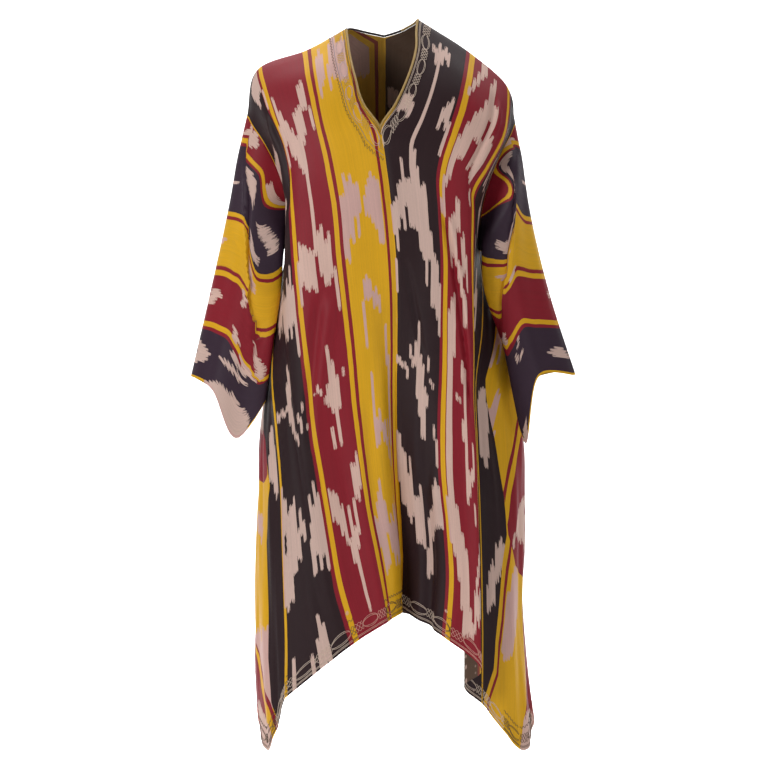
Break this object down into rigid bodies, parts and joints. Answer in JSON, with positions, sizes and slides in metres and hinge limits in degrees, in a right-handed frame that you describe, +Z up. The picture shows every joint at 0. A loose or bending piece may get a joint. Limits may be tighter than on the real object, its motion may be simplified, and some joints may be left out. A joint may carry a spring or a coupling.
{
  "type": "ikat kaftan",
  "caption": "Long loose ikat kaftan with a bound V neck, dropped straight sleeves, side gores and a hem that falls to points at the sides, in its hollow worn form.",
  "frame": {"origin": "between the shoulders at the height of the shoulder ridge, where the wearer's shoulders hold the kaftan up", "axes": "+Z up, -Y is the front, -X is the wearer's right side, which is at the left of the picture"},
  "size_m": [0.6745, 0.3191, 1.2735],
  "materials": {
    "ikat_panel_left": "satin",
    "ikat_panel_right": "satin",
    "ikat_gore_dark": "satin",
    "ikat_gore_yellow": "satin",
    "ikat_sleeve_upper": "satin",
    "ikat_sleeve_lower": "satin",
    "binding": "satin"
  },
  "bodies": {
    "root": {"panel_left": "ikat_panel_left", "panel_right": "ikat_panel_right", "gore_front_left": "ikat_gore_dark", "gore_front_right": "ikat_gore_dark", "gore_side_left": "ikat_gore_yellow", "gore_side_right": "ikat_gore_yellow", "sleeve_upper_left": "ikat_sleeve_upper", "sleeve_upper_right": "ikat_sleeve_upper", "sleeve_lower_left": "ikat_sleeve_lower", "sleeve_lower_right": "ikat_sleeve_lower", "neck_binding": "binding"}
  },
  "joints": []
}
